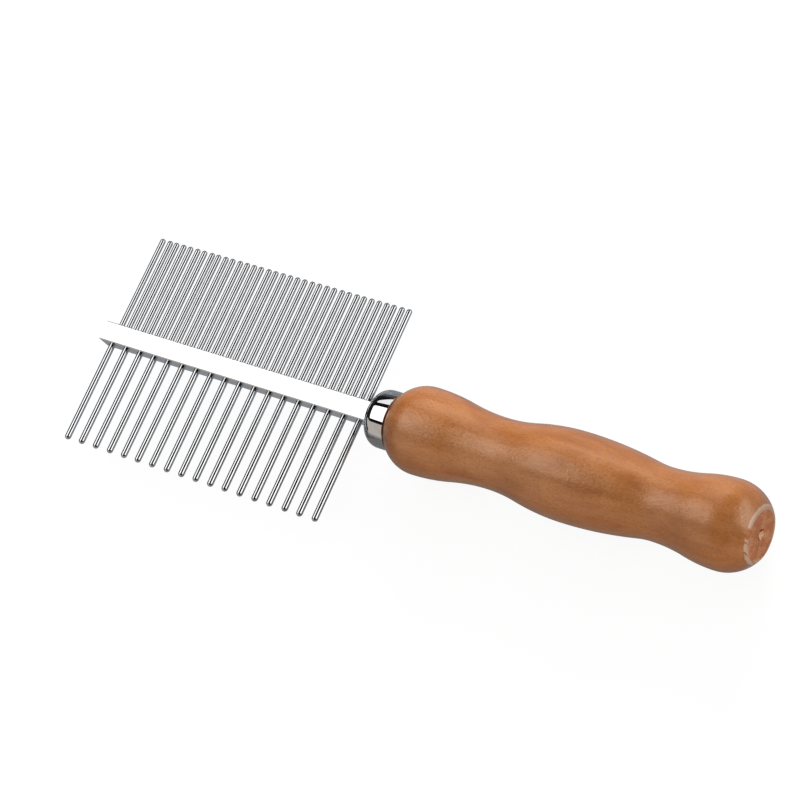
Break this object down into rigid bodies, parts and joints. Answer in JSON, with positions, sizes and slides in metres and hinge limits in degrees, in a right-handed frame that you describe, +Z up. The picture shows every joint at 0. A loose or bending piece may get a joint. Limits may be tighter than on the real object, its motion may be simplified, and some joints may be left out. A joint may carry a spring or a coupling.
{
  "type": "double-sided comb",
  "caption": "Hand comb with a row of wide-set and a row of close-set round metal teeth on one flat bar, held by a ferrule on a turned wooden handle.",
  "frame": {"origin": "centre of the handle's flat butt", "axes": "+X out of the butt along the handle's axis, with the comb towards -X; +Y towards the fine row; +Z up through the flat of the bar"},
  "size_m": [0.2098, 0.0636, 0.0242],
  "materials": {
    "handle_wood": "clear gloss lacquer over straight grain, bare end grain at the butt",
    "ferrule_chrome": "bright plated",
    "bar_chrome": "bright plated flat bar",
    "wide_teeth_steel": "polished round wire with domed tips",
    "fine_teeth_steel": "polished round wire with domed tips"
  },
  "bodies": {
    "root": {"handle": "handle_wood", "ferrule": "ferrule_chrome", "bar": "bar_chrome", "wide_tooth_01": "wide_teeth_steel", "wide_tooth_02": "wide_teeth_steel", "wide_tooth_03": "wide_teeth_steel", "wide_tooth_04": "wide_teeth_steel", "wide_tooth_05": "wide_teeth_steel", "wide_tooth_06": "wide_teeth_steel", "wide_tooth_07": "wide_teeth_steel", "wide_tooth_08": "wide_teeth_steel", "wide_tooth_09": "wide_teeth_steel", "wide_tooth_10": "wide_teeth_steel", "wide_tooth_11": "wide_teeth_steel", "wide_tooth_12": "wide_teeth_steel", "wide_tooth_13": "wide_teeth_steel", "wide_tooth_14": "wide_teeth_steel", "wide_tooth_15": "wide_teeth_steel", "wide_tooth_16": "wide_teeth_steel", "wide_tooth_17": "wide_teeth_steel", "wide_tooth_18": "wide_teeth_steel", "fine_tooth_01": "fine_teeth_steel", "fine_tooth_02": "fine_teeth_steel", "fine_tooth_03": "fine_teeth_steel", "fine_tooth_04": "fine_teeth_steel", "fine_tooth_05": "fine_teeth_steel", "fine_tooth_06": "fine_teeth_steel", "fine_tooth_07": "fine_teeth_steel", "fine_tooth_08": "fine_teeth_steel", "fine_tooth_09": "fine_teeth_steel", "fine_tooth_10": "fine_teeth_steel", "fine_tooth_11": "fine_teeth_steel", "fine_tooth_12": "fine_teeth_steel", "fine_tooth_13": "fine_teeth_steel", "fine_tooth_14": "fine_teeth_steel", "fine_tooth_15": "fine_teeth_steel", "fine_tooth_16": "fine_teeth_steel", "fine_tooth_17": "fine_teeth_steel", "fine_tooth_18": "fine_teeth_steel", "fine_tooth_19": "fine_teeth_steel", "fine_tooth_20": "fine_teeth_steel", "fine_tooth_21": "fine_teeth_steel", "fine_tooth_22": "fine_teeth_steel", "fine_tooth_23": "fine_teeth_steel", "fine_tooth_24": "fine_teeth_steel", "fine_tooth_25": "fine_teeth_steel", "fine_tooth_26": "fine_teeth_steel", "fine_tooth_27": "fine_teeth_steel", "fine_tooth_28": "fine_teeth_steel", "fine_tooth_29": "fine_teeth_steel", "fine_tooth_30": "fine_teeth_steel", "fine_tooth_31": "fine_teeth_steel", "fine_tooth_32": "fine_teeth_steel", "fine_tooth_33": "fine_teeth_steel", "fine_tooth_34": "fine_teeth_steel", "fine_tooth_35": "fine_teeth_steel"}
  },
  "joints": []
}
